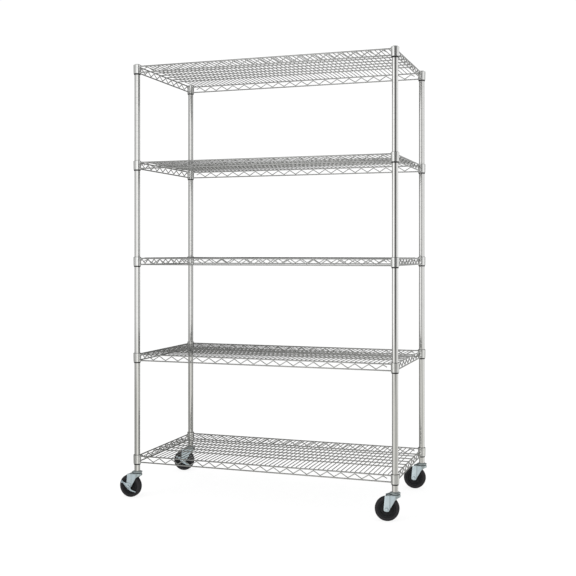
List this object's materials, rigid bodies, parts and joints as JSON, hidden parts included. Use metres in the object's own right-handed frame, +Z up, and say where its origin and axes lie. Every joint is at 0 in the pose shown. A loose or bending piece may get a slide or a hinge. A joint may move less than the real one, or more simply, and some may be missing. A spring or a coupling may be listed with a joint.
{
  "type": "wire shelf cart",
  "caption": "Rolling wire shelf cart: round posts, welded wire shelves on tapered split sleeves, and swivel stem casters with foot brakes on one end.",
  "frame": {"origin": "middle of the whole cart outline on the floor, casters turned as at rest; the middle of the post pattern is at x = 0.030009 m, y = 0.000645 m", "axes": "+X to the right along the long side, +Y to the back, +Z up"},
  "size_m": [1.288, 0.63, 1.9495],
  "materials": {
    "post_chrome": "bright plated tube with fine rolled grooves at 1 in steps",
    "bright_wire": "bright plated welded wire and collars",
    "caster_steel": "bright zinc plated pressed steel, bluish",
    "wheel_rubber": "charcoal moulded wheel and tread, matt",
    "black_plastic": "black moulded split sleeves",
    "cap_grey": "light grey moulded caps, close in tone to the collars"
  },
  "bodies": {
    "frame": {"shelf_bottom": "bright_wire", "shelf_lower": "bright_wire", "shelf_middle": "bright_wire", "shelf_upper": "bright_wire", "shelf_top": "bright_wire", "post_front_left": "post_chrome", "post_cap_front_left": "cap_grey", "stem_insert_front_left": "caster_steel", "caster_stem_front_left": "caster_steel", "sleeve_bottom_front_left": "black_plastic", "sleeve_lower_front_left": "black_plastic", "sleeve_middle_front_left": "black_plastic", "sleeve_upper_front_left": "black_plastic", "sleeve_top_front_left": "black_plastic", "post_front_right": "post_chrome", "post_cap_front_right": "cap_grey", "stem_insert_front_right": "caster_steel", "caster_stem_front_right": "caster_steel", "sleeve_bottom_front_right": "black_plastic", "sleeve_lower_front_right": "black_plastic", "sleeve_middle_front_right": "black_plastic", "sleeve_upper_front_right": "black_plastic", "sleeve_top_front_right": "black_plastic", "post_back_left": "post_chrome", "post_cap_back_left": "cap_grey", "stem_insert_back_left": "caster_steel", "caster_stem_back_left": "caster_steel", "sleeve_bottom_back_left": "black_plastic", "sleeve_lower_back_left": "black_plastic", "sleeve_middle_back_left": "black_plastic", "sleeve_upper_back_left": "black_plastic", "sleeve_top_back_left": "black_plastic", "post_back_right": "post_chrome", "post_cap_back_right": "cap_grey", "stem_insert_back_right": "caster_steel", "caster_stem_back_right": "caster_steel", "sleeve_bottom_back_right": "black_plastic", "sleeve_lower_back_right": "black_plastic", "sleeve_middle_back_right": "black_plastic", "sleeve_upper_back_right": "black_plastic", "sleeve_top_back_right": "black_plastic"},
    "fork_front_left": {"caster_fork_front_left": "caster_steel", "axle_bolt_front_left": "caster_steel", "axle_nut_front_left": "caster_steel"},
    "wheel_front_left": {"wheel_front_left": "wheel_rubber"},
    "brake_front_left": {"brake_lever_front_left": "caster_steel"},
    "fork_front_right": {"caster_fork_front_right": "caster_steel", "axle_bolt_front_right": "caster_steel", "axle_nut_front_right": "caster_steel"},
    "wheel_front_right": {"wheel_front_right": "wheel_rubber"},
    "fork_back_left": {"caster_fork_back_left": "caster_steel", "axle_bolt_back_left": "caster_steel", "axle_nut_back_left": "caster_steel"},
    "wheel_back_left": {"wheel_back_left": "wheel_rubber"},
    "brake_back_left": {"brake_lever_back_left": "caster_steel"},
    "fork_back_right": {"caster_fork_back_right": "caster_steel", "axle_bolt_back_right": "caster_steel", "axle_nut_back_right": "caster_steel"},
    "wheel_back_right": {"wheel_back_right": "wheel_rubber"}
  },
  "joints": [
    {"name": "swivel_front_left", "type": "hinge", "parent": "frame", "child": "fork_front_left", "pos_m": [-0.56054, -0.2851, 0.11], "axis": [0, 0, 1], "continuous": true},
    {"name": "roll_front_left", "type": "hinge", "parent": "fork_front_left", "child": "wheel_front_left", "pos_m": [-0.59302, -0.28391, 0.0508], "axis": [0.0366, 0.9993, 0], "continuous": true},
    {"name": "brake_front_left", "type": "hinge", "parent": "fork_front_left", "child": "brake_front_left", "pos_m": [-0.59302, -0.28391, 0.0508], "axis": [0.0366, 0.9993, 0], "range_deg": [-24, 0]},
    {"name": "swivel_front_right", "type": "hinge", "parent": "frame", "child": "fork_front_right", "pos_m": [0.62056, -0.2851, 0.11], "axis": [0, 0, 1], "continuous": true},
    {"name": "roll_front_right", "type": "hinge", "parent": "fork_front_right", "child": "wheel_front_right", "pos_m": [0.58833, -0.28929, 0.0508], "axis": [-0.1288, 0.9917, 0], "continuous": true},
    {"name": "swivel_back_left", "type": "hinge", "parent": "frame", "child": "fork_back_left", "pos_m": [-0.56054, 0.2864, 0.11], "axis": [0, 0, 1], "continuous": true},
    {"name": "roll_back_left", "type": "hinge", "parent": "fork_back_left", "child": "wheel_back_left", "pos_m": [-0.59222, 0.27914, 0.0508], "axis": [-0.2233, 0.9748, 0], "continuous": true},
    {"name": "brake_back_left", "type": "hinge", "parent": "fork_back_left", "child": "brake_back_left", "pos_m": [-0.59222, 0.27914, 0.0508], "axis": [-0.2233, 0.9748, 0], "range_deg": [-24, 0]},
    {"name": "swivel_back_right", "type": "hinge", "parent": "frame", "child": "fork_back_right", "pos_m": [0.62056, 0.2864, 0.11], "axis": [0, 0, 1], "continuous": true},
    {"name": "roll_back_right", "type": "hinge", "parent": "fork_back_right", "child": "wheel_back_right", "pos_m": [0.58806, 0.28645, 0.0508], "axis": [0.0017, 1, 0], "continuous": true}
  ]
}
